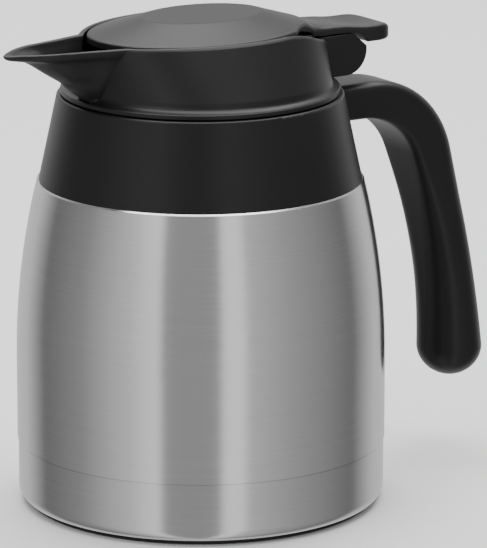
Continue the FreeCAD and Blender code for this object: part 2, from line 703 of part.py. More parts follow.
def dome(name, inset):
    """A low oval dome with straight flanks and a level oval facet, moved in by inset all round."""
    length, width = "dome_half_length - " + inset, "dome_half_width - " + inset
    return lofted(name, [
        oval(name + "_foot", length, width, "dome_centre", "dome_foot - %s" % inset),
        oval(name + "_edge", length, width, "dome_centre", "dome_edge - 0.7 * %s" % inset),
        oval(name + "_facet", "facet_half_length - 0.3 * %s" % inset,
             "facet_half_width - 0.3 * %s" % inset, "facet_centre", "facet_height - %s" % inset),
    ])


def neck_outline(inset):
    """Side view of the neck and the thumb tab, or of the hollow under them."""
    top = [("neck_start", "dome_edge"), ("neck_crest", "dome_edge + 0.8"),
           ("hinge_place - 8", "tab_height + 2.2"), ("hinge_place", "tab_height + 1"),
           ("hinge_place + 3", "tab_height + 0.6")]
    if inset:
        return [(x, "%s - (%s)" % (z, inset)) for x, z in top] + [
            ("hinge_place + 3", "lug_top - 4"), ("neck_start", "lug_top - 4")]
    return top + [
        ("hinge_place + 8", "tab_height"), ("tab_end - 8", "tab_height"),
        ("tab_end - 1.6", "tab_height - 1"), ("tab_end", "tab_height - 2.4"),
        ("tab_end", "tab_foot + 1.6"), ("tab_end - 1.6", "tab_foot"),
        ("hinge_place + lug_radius + 0.7", "tab_foot"),
        ("hinge_place + 4.3", "lug_top + 0.6"), ("lug_root + 0.8", "lug_top + 0.5"),
        ("rim_shoulder", "rim_height - rim_shoulder_drop + 0.5"),
        ("neck_start", "dome_foot")]


def make_lever():
    side = slab("neck_side", neck_outline(""), "dome_half_width")
    shape = plan("neck_plan", [
        ("neck_start", "-neck_root_half"), ("rim_shoulder", "3.5 - neck_root_half"),
        ("hinge_place - 15", "10.6 - neck_root_half"), ("hinge_place - 8", "-neck_half_width"),
        ("hinge_place + 4", "-neck_half_width"), ("hinge_place + 9", "-tab_half_width"),
        ("tab_end - 9", "-tab_half_width", "10.5"), ("tab_end", "-3"), ("tab_end", "3", "10.5"),
        ("tab_end - 9", "tab_half_width"), ("hinge_place + 9", "tab_half_width"),
        ("hinge_place + 4", "neck_half_width"), ("hinge_place - 8", "neck_half_width"),
        ("hinge_place - 15", "neck_root_half - 10.6"), ("rim_shoulder", "neck_root_half - 3.5"),
        ("neck_start", "neck_root_half"),
    ], "waist_height", "dome_edge - waist_height + 10")
    hollow = slab("neck_hollow", neck_outline("shell - 0.4"),
                  "neck_half_width - shell + 0.4")
    inside = dome("dome_inside", "shell")
    boss_height = "facet_height - shell / 2 - plate_foot - plate_thickness"
    bosses = [rod("cover_boss_%d" % i, 3.4, boss_height, x, 0, "plate_foot + plate_thickness")
              for i, x in enumerate(lever_screw_places())]
    boss_holes = [rod("boss_hole_%d" % i, "screw_radius", 6, x, 0, "plate_foot + plate_thickness")
                  for i, x in enumerate(lever_screw_places())]
    outside = fuse("lever_outside", dome("dome_outside", "0"), common("neck", side, shape))
    shell = cut("lever_shell", outside, inside, hollow)
    node("lever_cover", cut("lever_cover", fuse("lever_with_bosses", shell, *bosses),
                            *boss_holes))


def lever_screw_places():
    return ["-14", "20"]


def make_lever_plate():
    bar = box("plate_bar", "-plate_end", "-plate_half_width", "plate_foot",
              "plate_end + hinge_place + 3",
              "2 * plate_half_width", "plate_thickness")
    block = box("hinge_block", "hinge_place - 4", "-plate_half_width", "hinge_height - 4", 8,
                "2 * plate_half_width", "plate_foot - hinge_height + 4")
    bore = rod("hinge_bore", "pin_radius + pin_gap", "2 * plate_half_width", "hinge_place",
               "-plate_half_width", "hinge_height", along="Y")
    ears, slots = [], []
    for side, foot in (("near", "-6.8"), ("far", "4.3")):
        ears.append(box("ear_" + side, -5, foot, "fork_pin_height - 3.4", 10, 2.5,
                        "plate_foot - fork_pin_height + 3.4"))
        slots.append(box("slot_" + side, -2.4, foot, "fork_pin_height - fork_pin_radius - seal_gap",
                         4.8, 2.5, "2 * (fork_pin_radius + seal_gap)"))
    holes = [rod("plate_hole_%d" % i, "screw_radius", "plate_thickness", x, 0, "plate_foot")
             for i, x in enumerate(lever_screw_places())]
    whole = fuse("plate_whole", bar, block, *ears)
    node("lever_plate", cut("lever_plate", whole, bore, *slots, *holes))
    node("lever_screws", group("lever_screws", [
        screw("lever_screw_%d" % i, x, 0, "plate_foot", "plate_foot + plate_thickness + 5.5")
        for i, x in enumerate(lever_screw_places())]))


# ---------------------------------------------------------------- valve

def make_valve():
    stem = rod("stem_rod", "stem_radius", "stem_top - stem_foot", 0, 0, "stem_foot")
    eye = rod("stem_eye", "fork_pin_radius", "2 * stem_radius", 0, "-stem_radius",
              "fork_pin_height", along="Y")
    node("valve_stem", cut("valve_stem", stem, eye))
    node("fork_pin", rod("fork_pin", "fork_pin_radius", "2 * fork_pin_half", 0,
                         "-fork_pin_half", "fork_pin_height", along="Y"))
    top = "valve_foot + valve_thickness"
    node("valve_disc", turned("valve_disc", [
        ("stem_radius", "valve_foot"), ("valve_radius", "valve_foot"), ("valve_radius", top),
        ("spring_radius - 1.4", top), ("spring_radius - 1.4", top + " + 1.6"),
        ("stem_radius", top + " + 1.6"),
    ]))
    node("valve_gasket", ring("valve_gasket", "stem_radius", "valve_radius + 0.8",
                              "valve_foot - gasket_thickness", "valve_foot"))
    nut = doc.addObject("Part::Prism", "nut_blank")
    nut.Polygon = 6
    bind(nut, Circumradius=6.4, Height=3)
    place(nut, z="valve_foot - gasket_thickness - 3")
    nut_hole = rod("nut_hole", "stem_radius", 3, z="valve_foot - gasket_thickness - 3")
    node("valve_nut", cut("valve_nut", nut, nut_hole))


def make_spring():
    foot = "valve_foot + valve_thickness + wire_radius"
    length = "guide_height - valve_foot - valve_thickness - 2 * wire_radius"
    helix = doc.addObject("Part::Helix", "spring_line")
    bind(helix, Pitch="(%s) / spring_turns" % length, Height=length,
         Radius="spring_radius - wire_radius")
    place(helix, z=foot)
    wire = doc.addObject("Sketcher::SketchObject", "spring_wire")
    place(wire, x="spring_radius - wire_radius", z=foot, rotation=SIDE)
    wire.addGeometry(Part.Circle(Vector(), Vector(0, 0, 1), value("wire_radius")), False)
    wire.addConstraint(Sketcher.Constraint("Coincident", 0, 3, -1, 1))
    size = wire.addConstraint(Sketcher.Constraint("Radius", 0, value("wire_radius")))
    wire.setExpression("Constraints[%d]" % size, bound("wire_radius"))
    spring = doc.addObject("Part::Sweep", "valve_spring")
    spring.Sections = [wire]
    spring.Spine = (helix, ["Edge1"])
    spring.Solid = True
    spring.Frenet = True
    node("valve_spring", spring)


# ---------------------------------------------------------------- check and write

def write_parts():
    doc.recompute()
    failed = [o.Name for o in doc.Objects if "Invalid" in o.State or "Error" in o.State]
    if failed:
        raise RuntimeError("objects that failed: " + ", ".join(failed))
    os.makedirs("parts", exist_ok=True)
    for part in nodes:
        if part.Shape.isNull() or not part.Shape.isValid():
            raise RuntimeError(part.Label + " has no valid shape")
        part.Shape.exportStep("parts/%s.step" % part.Label)
        print("%-24s %d solid(s) %8.0f mm3" % (part.Label, len(part.Shape.Solids),
                                               part.Shape.Volume))


for make in (make_outer_shell, make_base_cup, make_liner, make_vacuum_parts, make_foot_pad,
             make_collar, make_neck_rings, make_handle, make_lid_body, make_stopper,
             make_stem_guide, make_hinge, make_lever, make_lever_plate, make_valve, make_spring):
    make()
write_parts()
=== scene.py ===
import json
import math

import bpy
import numpy as np
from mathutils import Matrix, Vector


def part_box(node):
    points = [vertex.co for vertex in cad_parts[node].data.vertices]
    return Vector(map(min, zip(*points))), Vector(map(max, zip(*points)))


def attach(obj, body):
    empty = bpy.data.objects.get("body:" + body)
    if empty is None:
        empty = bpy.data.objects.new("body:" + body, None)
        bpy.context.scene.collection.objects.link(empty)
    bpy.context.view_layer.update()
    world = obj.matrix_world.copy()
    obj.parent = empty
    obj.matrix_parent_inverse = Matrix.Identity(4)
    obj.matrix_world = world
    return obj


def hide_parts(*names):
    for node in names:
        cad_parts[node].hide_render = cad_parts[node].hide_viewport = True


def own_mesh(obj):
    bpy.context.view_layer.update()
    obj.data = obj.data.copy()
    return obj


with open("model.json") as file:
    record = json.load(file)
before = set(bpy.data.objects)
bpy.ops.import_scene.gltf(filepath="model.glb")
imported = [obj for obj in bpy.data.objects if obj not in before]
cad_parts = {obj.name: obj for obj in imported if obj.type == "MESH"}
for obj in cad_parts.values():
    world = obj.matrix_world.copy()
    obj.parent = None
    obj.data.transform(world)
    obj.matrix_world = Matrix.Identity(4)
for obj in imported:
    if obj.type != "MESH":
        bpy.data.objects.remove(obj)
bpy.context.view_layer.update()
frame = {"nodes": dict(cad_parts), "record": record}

MM = 0.001

# ---------------------------------------------------------------- sizes, in millimetres

collar_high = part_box("shoulder_collar")[1] / MM
pin_low, pin_high = [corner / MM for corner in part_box("hinge_pin")]
lid_low, lid_high = [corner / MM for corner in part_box("lid_body")]
handle_low, handle_high = [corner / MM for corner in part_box("handle_shell")]
lever_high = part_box("lever_cover")[1] / MM

collar_top = collar_high.z
hinge_x = (pin_low.x + pin_high.x) / 2
hinge_z = (pin_low.z + pin_high.z) / 2
rim_height = lid_high.z
skirt_foot = lid_low.z
spout_tip = 0.2 - lid_low.x
arm_top = handle_high.z
grip_bottom = handle_low.z
tab_end = lever_high.x
facet_height = lever_high.z

flange_foot = collar_top + 0.3
flange_top = flange_foot + 1.9
flange_radius = 48.9
waist_radius = 45.8
waist_height = flange_top + 2.6
rim_centre, rim_half_length, rim_half_width = 0.5, 46.0, 33.6
wall = 2.0
floor_bore = 37.0
floor_height = flange_top + 1.6
skirt_radius = 45.9
lug_radius = 8.8
lug_half = 11.5
lug_root = 43.0
lug_top = hinge_z + 6.3
dome_centre, dome_half_length, dome_half_width = -1.3, 40.8, 31.2
dome_edge = rim_height - 0.3
facet_centre, facet_half_length, facet_half_width = 0.7, 22.8, 16.3
tab_height = lug_top + 1.5
tab_foot = lug_top - 4.0
tab_half_width = 12.0
arm_start = 49.0
arm_under = arm_top - 13.0
grip_end = grip_bottom + 10.7
rim_round = 0.7


# ---------------------------------------------------------------- mesh helpers

def curve_through(points):
    """A smooth function through (x, y) points, with slopes that don't overshoot."""
    x = np.array([p[0] for p in points], float)
    y = np.array([p[1] for p in points], float)
    slope = np.diff(y) / np.diff(x)
    tangent = np.concatenate([[slope[0]], np.zeros(len(x) - 2), [slope[-1]]])
    same = slope[:-1] * slope[1:] > 0
    tangent[1:-1][same] = (2 * slope[:-1] * slope[1:] / (slope[:-1] + slope[1:] + 1e-12))[same]

    def at(value):
        value = np.clip(np.asarray(value, float), x[0], x[-1])
        i = np.clip(np.searchsorted(x, value) - 1, 0, len(slope) - 1)
        width = x[i + 1] - x[i]
        t = (value - x[i]) / width
        return (y[i] * (2 * t**3 - 3 * t**2 + 1) + tangent[i] * width * (t**3 - 2 * t**2 + t)
                + y[i + 1] * (3 * t**2 - 2 * t**3) + tangent[i + 1] * width * (t**3 - t**2))
    return at


def smoothstep(low, high, value):
    t = np.clip((np.asarray(value, float) - low) / (high - low), 0, 1)
    return t * t * (3 - 2 * t)


def grid_faces(rows, columns, wrap_rows, wrap_columns):
    faces = []
    for i in range(rows if wrap_rows else rows - 1):
        for j in range(columns if wrap_columns else columns - 1):
            k, n = (i + 1) % rows, (j + 1) % columns
            faces.append((i * columns + j, i * columns + n, k * columns + n, k * columns + j))
    return faces


def piece(name, points, faces, body, *nodes, sharp=40):
    """A smooth mesh from points in millimetres that rides on a body and stands for CAD nodes."""
    mesh = bpy.data.meshes.new(name)
    mesh.from_pydata([tuple(p * MM for p in point) for point in points], [], faces)
    mesh.validate()
    mesh.update()
    thing = bpy.data.objects.new(name, mesh)
    bpy.context.scene.collection.objects.link(thing)
    mesh.shade_smooth()
    mesh.set_sharp_from_angle(angle=math.radians(sharp))
    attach(thing, body)
    if nodes:
        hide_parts(*nodes)
    return thing


def arc(centre, radius, first, last, count):
    """Points along an arc in a plane, angles in degrees."""
    turns = np.radians(np.linspace(first, last, count))
    return [(centre[0] + radius * math.cos(t), centre[1] + radius * math.sin(t)) for t in turns]


# ---------------------------------------------------------------- handle

def handle_lines():
    """Matching points down the outer side and the finger side of the handle, as (x, z)."""
    outer_turn, outer_place, outer_lean, outer_bow = 38.0, 67.0, math.radians(15.95), 650.0
    inner_turn, inner_place, inner_lean, inner_bow = 24.0, 63.0, math.radians(20.0), 194.0
    outer, inner = [], []
    for t in np.linspace(0, 1, 14, endpoint=False):
        outer.append((arm_start + t * (outer_place - arm_start), arm_top))
        inner.append((arm_start + t * (inner_place - arm_start), arm_under))
    for t in np.linspace(0, 1, 40, endpoint=False):
        a = math.pi / 2 + t * (outer_lean - math.pi / 2)
        b = math.pi / 2 + t * (inner_lean - math.pi / 2)
        outer.append((outer_place + outer_turn * math.cos(a),
                      arm_top - outer_turn + outer_turn * math.sin(a)))
        inner.append((inner_place + inner_turn * math.cos(b),
                      arm_under - inner_turn + inner_turn * math.sin(b)))
    outer_centre = (outer_place + (outer_turn - outer_bow) * math.cos(outer_lean),
                    arm_top - outer_turn + (outer_turn - outer_bow) * math.sin(outer_lean))
    inner_centre = (inner_place + (inner_turn - inner_bow) * math.cos(inner_lean),
                    arm_under - inner_turn + (inner_turn - inner_bow) * math.sin(inner_lean))
    outer_start = outer_centre[1] + outer_bow * math.sin(outer_lean)
    inner_start = inner_centre[1] + inner_bow * math.sin(inner_lean)
    for t in np.linspace(0, 1, 60):
        zo = outer_start + t * (grip_end - outer_start)
        zi = inner_start + t * (grip_end + 1.3 - inner_start)
        outer.append((outer_centre[0] + math.sqrt(outer_bow**2 - (zo - outer_centre[1])**2), zo))
        inner.append((inner_centre[0] + math.sqrt(inner_bow**2 - (zi - inner_centre[1])**2), zi))
    return np.array(outer), np.array(inner)


def handle_section(half_depth, half_width, inner_round, outer_round):
    """One closed section, (u towards the outer side, v across), with its own corner radii."""
    corners = [(half_depth, half_width, outer_round, 0),
               (-half_depth, half_width, inner_round, 90),
               (-half_depth, -half_width, inner_round, 180),
               (half_depth, -half_width, outer_round, 270)]
    steps = 14
    points = []
    for u, v, radius, first in corners:
        radius = min(radius, half_depth, half_width)
        centre = (u - math.copysign(radius, u), v - math.copysign(radius, v))
        points += arc(centre, radius, first, first + 90, steps)
    closed = points + [points[0]]
    dense = []
    for k, (a, b) in enumerate(zip(closed[:-1], closed[1:])):
        dense.append(a)
        if k % steps == steps - 1:
            dense += [tuple(np.array(a) + (np.array(b) - a) * t) for t in (0.2, 0.4, 0.6, 0.8)]
    return dense


def make_handle():
    """The arm and grip: sections from the arm's start to a rounded free end."""
    outer, inner = handle_lines()
    along = np.concatenate([[0], np.cumsum(np.hypot(*np.diff((outer + inner) / 2, axis=0).T))])
    along /= along[-1]
    width = curve_through([(0, 11.5), (0.45, 11.3), (0.75, 11.6), (1, 12.0)])
    inner_round = curve_through([(0, 4.0), (0.2, 3.0), (0.4, 3.2), (0.62, 6.5), (0.8, 9.5),
                                 (1, 11.5)])
    outer_round = curve_through([(0, 4.4), (0.2, 4.8), (0.35, 6.5), (0.55, 8.6), (0.8, 10),
                                 (1, 12)])
    rows = []
    for k, s in enumerate(along):
        middle = (outer[k] + inner[k]) / 2
        across = outer[k] - inner[k]
        depth = np.hypot(*across) / 2
        direction = across / (2 * depth)
        section = handle_section(depth, float(width(s)), float(inner_round(s)),
                                 float(outer_round(s)))
        rows.append([(middle[0] + direction[0] * u, v, middle[1] + direction[1] * u)
                     for u, v in section])
    down = np.array([direction[1], -direction[0]])
    reach = middle[1] - grip_bottom
    section = handle_section(depth, float(width(1)), float(inner_round(1)),
                             float(outer_round(1)))
    for turn in np.radians(np.linspace(0, 90, 18)[1:]):
        shrink, drop = math.cos(turn), math.sin(turn) * reach
        rows.append([(middle[0] + direction[0] * u * shrink + down[0] * drop, v * shrink,
                      middle[1] + direction[1] * u * shrink + down[1] * drop)
                     for u, v in section])
    columns = len(rows[0])
    points = [p for row in rows for p in row]
    faces = grid_faces(len(rows), columns, False, True) + [tuple(range(columns))[::-1]]
    return piece("handle_grip", points, faces, "vessel", "handle_shell", "handle_inner_cover")


# ---------------------------------------------------------------- lid body

keel = curve_through([(flange_top, 47.6), (153.8, 55.1), (156.2, 57.6), (158.5, 61.4),
                      (161.1, 65.5), (163.6, 69.4), (165.1, 72.4), (165.6, 75.4), (166.1, 78.0),
                      (166.8, 79.3), (167.8, spout_tip), (170.0, spout_tip)])
channel_keel = curve_through([(floor_height, 43.4), (152.0, 47.5), (158.0, 58.2), (163.0, 66.2),
                              (165.8, 71.4), (166.8, 74.6), (167.6, 76.6), (170.0, 77.4)])
kink = curve_through([(flange_top, 6.5), (149.7, 7.5), (151.3, 9.2), (157.3, 14.9), (163.2, 20.9),
                      (168.4, 28.0), (170.0, 29.0)])
rim_line = curve_through([(-82, 167.8), (-76, 168.3), (-66, 168.5), (-40, 168.5), (-28, 168.9),
                          (-18, rim_height), (14, rim_height), (21.6, 168.4), (27.6, 167.2),
                          (31.8, 165.9), (35.2, 164.9), (37.4, 164.2), (43.4, lug_top),
                          (48, lug_top)])
taper = curve_through([(0, 1), (0.118, 0.93), (0.193, 0.88), (0.344, 0.785), (0.495, 0.706),
                       (0.646, 0.62), (0.721, 0.546), (0.797, 0.45), (0.872, 0.32), (0.947, 0.17),
                       (0.98, 0.09), (1, 0)])


def wall_point(turn, z, inset):
    """The lid's wall: round at the waist, oval at the rim, straight between, flared below."""
    share = max((z - waist_height) / (rim_height - waist_height), 0)
    rise = np.clip((waist_height - z) / (waist_height - flange_top), 0, 1)
    flare = (flange_radius - waist_radius - 0.5) * (1 - math.sqrt(1 - rise**2 * 0.98))
    radius = waist_radius + flare - inset
    x = (1 - share) * radius * math.cos(turn) + share * (
        rim_centre + (rim_half_length - inset) * math.cos(turn))
    y = ((1 - share) * radius + share * (rim_half_width - inset)) * math.sin(turn)
    return x, y, z


WALL_POINTS, SPOUT_POINTS = 75, 64


def lid_curve(height_of, inset):
    """A closed curve round the wall and the spout; height_of gives each point's height."""
    half = []
    for s in np.linspace(0, 1, WALL_POINTS, endpoint=False):
        z = float(height_of(rim_centre + rim_half_length * math.cos(s * math.pi * 0.85)))
        half.append(wall_point(s * (math.pi - kink_angle(z, inset)), z, inset))
    for s in np.sin(np.linspace(0, math.pi / 2, SPOUT_POINTS)):
        half.append(spout_point(s, height_of, inset))
    return half + [(x, -y, z) for x, y, z in reversed(half[1:-1])]


def kink_angle(z, inset):
    return math.radians(float(kink(z)) - inset * 1.25)


def spout_point(s, height_of, inset):
    """A point on the spout's side, from the kink at s = 0 to the keel at s = 1."""
    z = float(height_of(-42 - s * (spout_tip - 42)))
    x, y, z = wall_point(math.pi - kink_angle(z, inset), z, inset)
    end = -float(keel(z)) if inset == 0 else -float(channel_keel(z))
    return x + (end - x) * s, y * float(taper(s)), z


def make_lid_body():
    """Wall and spout up the outside, over the rim, down the inside, and round the skirt."""
    rows = []

    def ring_row(radius, z):
        rows.append([(radius * math.cos(a), radius * math.sin(a), z)
                     for a in [math.atan2(p[1], p[0]) for p in rows[0]]])

    def blend_row(outside, inside, share, drop):
        rows.append([tuple(np.array(a) + (np.array(b) - a) * share - np.array([0, 0, drop]))
                     for a, b in zip(outside, inside)])

    for share in 1 - (1 - np.linspace(0, 1, 34)) ** 1.15:
        rows.append(lid_curve(
            lambda x: flange_top + share * (rim_line(x) - rim_round - flange_top), 0))
    top_outside = lid_curve(rim_line, 0)
    top_inside = lid_curve(rim_line, wall)
    for share, drop in ((0.03, 0.42), (0.12, 0.16), (0.26, 0.03), (0.42, 0.0), (0.6, 0.02),
                        (0.8, 0.14), (0.94, 0.36)):
        blend_row(top_outside, top_inside, share, drop)
    for share in np.linspace(0, 1, 22):
        rows.append(lid_curve(
            lambda x: rim_line(x) - rim_round + share * (floor_height - rim_line(x) + rim_round),
            wall))
    ring_row(floor_bore, floor_height)
    ring_row(floor_bore, flange_foot + 0.1)
    ring_row(skirt_radius - wall, flange_foot + 0.1)
    ring_row(skirt_radius - wall, skirt_foot)
    ring_row(skirt_radius, skirt_foot)
    ring_row(skirt_radius, flange_foot)
    ring_row(flange_radius - 0.3, flange_foot)
    ring_row(flange_radius, flange_foot + 0.3)
    ring_row(flange_radius, flange_top - 0.4)
    ring_row(flange_radius - 0.35, flange_top - 0.05)
    columns = len(rows[0])
    points = [p for row in rows for p in row]
    faces = grid_faces(len(rows), columns, True, True)
    for more_points, more_faces in (lug_mesh(), *thread_meshes()):
        first = len(points)
        points += more_points
        faces += [tuple(first + k for k in face) for face in more_faces]
    return piece("lid_moulding", points, faces, "lid", "lid_body", sharp=35)


def lug_mesh():
    """The rounded hinge lug: an outline swept across, with soft edges."""
    outline = [(lug_root - 1, hinge_z - lug_radius)]
    outline += arc((hinge_x, hinge_z), lug_radius, -90, 8, 30)
    outline += [(hinge_x + 5.4, lug_top - 2.2), (hinge_x + 3.2, lug_top - 0.3),
                (hinge_x + 2.4, lug_top), (lug_root - 1, lug_top)]
    outline = np.array(outline)
    centre = np.array([hinge_x - 5.0, hinge_z - 1.0])
    rows = []
    for inset, half in ((9.0, lug_half), (0.9, lug_half), (0.45, lug_half - 0.1),
                        (0.12, lug_half - 0.4), (0.0, lug_half - 0.9)):
        reach = np.hypot(*(outline - centre).T)
        share = (reach - np.minimum(inset, reach * 0.9)) / reach
        shrunk = centre + (outline - centre) * share[:, None]
        rows.append([(x, half, z) for x, z in shrunk])
    rows += [[(x, -y, z) for x, y, z in row] for row in reversed(rows)]
    columns = len(outline)
    points = [p for row in rows for p in row]
    faces = grid_faces(len(rows), columns, False, True)
    faces += [tuple(range(columns)), tuple(range(len(points) - columns, len(points)))[::-1]]
    return points, faces


def thread_meshes():
    """Three short helical ribs on the skirt."""
    lead, starts, foot, span, steps = 15.0, 3, skirt_foot + 6, 80, 28
    profile = [(-0.3, -1.1), (1.7, -0.65), (1.7, 0.65), (-0.3, 1.1)]
    corners = len(profile)
    for start in range(starts):
        points = []
        for turn in np.radians(np.linspace(0, span, steps)):
            a = turn + 2 * math.pi * start / starts
            z = foot + lead * turn / (2 * math.pi)
            points += [((skirt_radius + r) * math.cos(a), (skirt_radius + r) * math.sin(a), z + up)
                       for r, up in profile]
        faces = grid_faces(steps, corners, False, True)
        faces += [tuple(range(corners)), tuple(range(len(points) - corners, len(points)))[::-1]]
        yield points, faces


# ---------------------------------------------------------------- lever cover

neck_half_width = curve_through([(24, 24.6), (27, 21.2), (30, 18.4), (33.5, 15.6), (38, 13.1),
                                 (42, 11.9), (47, 11.3), (58, 11.3), (64, 11.9), (68, 12.0)])
crest = curve_through([(20, 168.0), (30, 170.0), (36.6, 169.2), (46.5, 166.0), (54.5, 164.8),
                       (58, 164.2), (64, tab_height - 0.2), (71, tab_height - 0.3),
                       (tab_end, tab_height - 0.9)])
lever_foot = curve_through([(-45, 166.6), (10, 166.6), (22, 167.0), (28, 167.4), (33, 166.4),
                            (38, 165.0), (41, 163.5), (43, lug_top + 0.6), (50, lug_top + 0.6),
                            (58.6, lug_top + 0.6)])
dish = curve_through([(20, -0.022), (38, -0.020), (50, 0.0), (60, 0.0055), (tab_end, 0.006)])
neck_start, tab_turn = 24.0, 67.0
hollow_end = 58.6


def lever_half_width(x):
    """Half the width of the dome, neck and thumb tab seen from above."""
    x = np.asarray(x, float)
    oval = dome_half_width * np.sqrt(
        np.maximum(1 - ((x - dome_centre) / dome_half_length) ** 2, 0))
    share = np.clip((x - tab_turn) / (tab_end - tab_turn), 0, 1)
    end = tab_half_width * np.clip(1 - share**2.6, 0, 1) ** (1 / 2.2)
    return np.where(x < neck_start, oval, np.where(x < tab_turn, neck_half_width(x), end))


def dome_height(x, y):
    """Straight flanks from the oval edge up to the level oval facet, and on down beyond it."""
    low, high = np.full(x.shape, -1.5), np.ones(x.shape)
    for _ in range(30):
        t = (low + high) / 2
        centre = dome_centre + t * (facet_centre - dome_centre)
        length = dome_half_length + t * (facet_half_length - dome_half_length)
        width = dome_half_width + t * (facet_half_width - dome_half_width)
        outside = ((x - centre) / length) ** 2 + (y / width) ** 2 > 1
        high, low = np.where(outside, t, high), np.where(outside, low, t)
    rise = facet_height - dome_edge
    return dome_edge + rise * np.where(low > 0, low, 2.5 * low)


def lever_top(x, y):
    """Height of the smooth top: a faceted dome that runs into a dished thumb tab."""
    dome = dome_height(x, y)
    neck = crest(x) + dish(x) * y**2
    joined = (dome + neck + np.sqrt((dome - neck) ** 2 + 0.5)) / 2
    share = smoothstep(22, 34, x)
    return dome * (1 - share) + joined * share


def make_lever():
    """Dome, neck and tab in one mesh, hollow from below as far as the hinge."""
    turns = np.linspace(0, math.pi, 230)
    front = dome_half_length - dome_centre
    x = (tab_end - front) / 2 - (tab_end + front) / 2 * np.cos(turns)
    half = np.maximum(lever_half_width(x), 0.02)
    across = np.sin(np.linspace(-math.pi / 2, math.pi / 2, 131))
    X = np.repeat(x[:, None], len(across), axis=1)
    Y = half[:, None] * across[None, :]
    edge = np.array([(a, b) for a, b in zip(x, half)] + [(a, -b) for a, b in zip(x, half)])
    away = np.min(np.hypot(X[..., None] - edge[:, 0], Y[..., None] - edge[:, 1]), axis=2)
    top = lever_top(X, Y)
    rounding = 0.8 + 1.0 * smoothstep(26, 46, X)
    part = np.clip(1 - away / rounding, 0, 1)
    top = top - rounding * (1 - np.sqrt(1 - part**2))
    slope = np.clip((hollow_end + 5.4 - X) / 5.4, 0, 1)
    foot = np.where(X < hollow_end, lever_foot(X), tab_foot + slope * 4.6)
    edge_round = 1.4
    part = np.clip(1 - away / edge_round, 0, 1)
    foot = foot + edge_round * (1 - np.sqrt(1 - part**2)) * (X > 62)
    foot = np.minimum(foot, top - 0.8)
    hollow = smoothstep(1.7, 2.1, away) * smoothstep(58.0, 57.2, X)
    under = foot * (1 - hollow) + (top - wall) * hollow
    rows, columns = X.shape
    points = [tuple(p) for p in np.stack([X, Y, top], -1).reshape(-1, 3)]
    points += [tuple(p) for p in np.stack([X, Y, under], -1).reshape(-1, 3)]
    upper = grid_faces(rows, columns, False, False)
    size = rows * columns
    lower = [tuple(size + k for k in face[::-1]) for face in upper]
    border = ([(i, 0) for i in range(rows)] + [(rows - 1, j) for j in range(1, columns)]
              + [(i, columns - 1) for i in range(rows - 2, -1, -1)]
              + [(0, j) for j in range(columns - 2, 0, -1)])
    ring = [i * columns + j for i, j in border]
    walls = [(a, b, b + size, a + size) for a, b in zip(ring, ring[1:] + ring[:1])]
    return piece("lever_moulding", points, upper + lower + walls, "lever", "lever_cover", sharp=50)


# ---------------------------------------------------------------- valve spring

def make_spring():
    """The spring between the valve disc and the stem guide, built as a coil of round wire at its
    full length.
    """
    low, high = [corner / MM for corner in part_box("valve_spring")]
    wire, turns, rings, sides = 0.6, 5, 301, 12
    reach = high.x - wire
    points = []
    for share in np.linspace(0, 1, rings):
        a = 2 * math.pi * turns * share
        z = low.z + wire + (high.z - low.z - 2 * wire) * share
        for b in np.linspace(0, 2 * math.pi, sides, endpoint=False):
            r = reach + wire * math.cos(b)
            points.append((r * math.cos(a), r * math.sin(a), z + wire * math.sin(b)))
    faces = grid_faces(rings, sides, False, True)
    faces += [tuple(range(sides)), tuple(range(len(points) - sides, len(points)))[::-1]]
    spring = piece("spring_wire", points, faces, "lid", "valve_spring")
    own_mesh(spring)
    return spring


# ---------------------------------------------------------------- materials

def material(name, colour, metallic, roughness, **inputs):
    made = bpy.data.materials.new(name)
    made.use_nodes = True
    shader = made.node_tree.nodes["Principled BSDF"]
    shader.inputs["Base Color"].default_value = (*colour, 1)
    shader.inputs["Metallic"].default_value = metallic
    shader.inputs["Roughness"].default_value = roughness
    for label, number in inputs.items():
        shader.inputs[label.replace("_", " ")].default_value = number
    return made


def noise(made, scale, stretch=(1, 1, 1), detail=4.0):
    nodes, links = made.node_tree.nodes, made.node_tree.links
    place = nodes.new("ShaderNodeTexCoord")
    mapping = nodes.new("ShaderNodeMapping")
    mapping.inputs["Scale"].default_value = stretch
    texture = nodes.new("ShaderNodeTexNoise")
    texture.inputs["Scale"].default_value = scale
    texture.inputs["Detail"].default_value = detail
    links.new(place.outputs["Object"], mapping.inputs["Vector"])
    links.new(mapping.outputs["Vector"], texture.inputs["Vector"])
    return texture


def vary(made, socket, texture, low, high):
    """Drive a number of the shader by a texture, between low and high."""
    nodes, links = made.node_tree.nodes, made.node_tree.links
    scale = nodes.new("ShaderNodeMapRange")
    scale.inputs["From Min"].default_value = 0.3
    scale.inputs["From Max"].default_value = 0.7
    scale.inputs["To Min"].default_value = low
    scale.inputs["To Max"].default_value = high
    links.new(texture.outputs["Fac"], scale.inputs["Value"])
    links.new(scale.outputs["Result"], nodes["Principled BSDF"].inputs[socket])


def tint(made, texture, dark, light):
    """Drive the base colour by a texture, between two colours."""
    nodes, links = made.node_tree.nodes, made.node_tree.links
    ramp = nodes.new("ShaderNodeValToRGB")
    ramp.color_ramp.elements[0].position = 0.3
    ramp.color_ramp.elements[1].position = 0.7
    ramp.color_ramp.elements[0].color = (*dark, 1)
    ramp.color_ramp.elements[1].color = (*light, 1)
    links.new(texture.outputs["Fac"], ramp.inputs["Fac"])
    links.new(ramp.outputs["Color"], nodes["Principled BSDF"].inputs["Base Color"])


def bump(made, texture, strength, distance):
    nodes, links = made.node_tree.nodes, made.node_tree.links
    relief = nodes.new("ShaderNodeBump")
    relief.inputs["Strength"].default_value = strength
    relief.inputs["Distance"].default_value = distance
    links.new(texture.outputs["Fac"], relief.inputs["Height"])
    links.new(relief.outputs["Normal"], nodes["Principled BSDF"].inputs["Normal"])


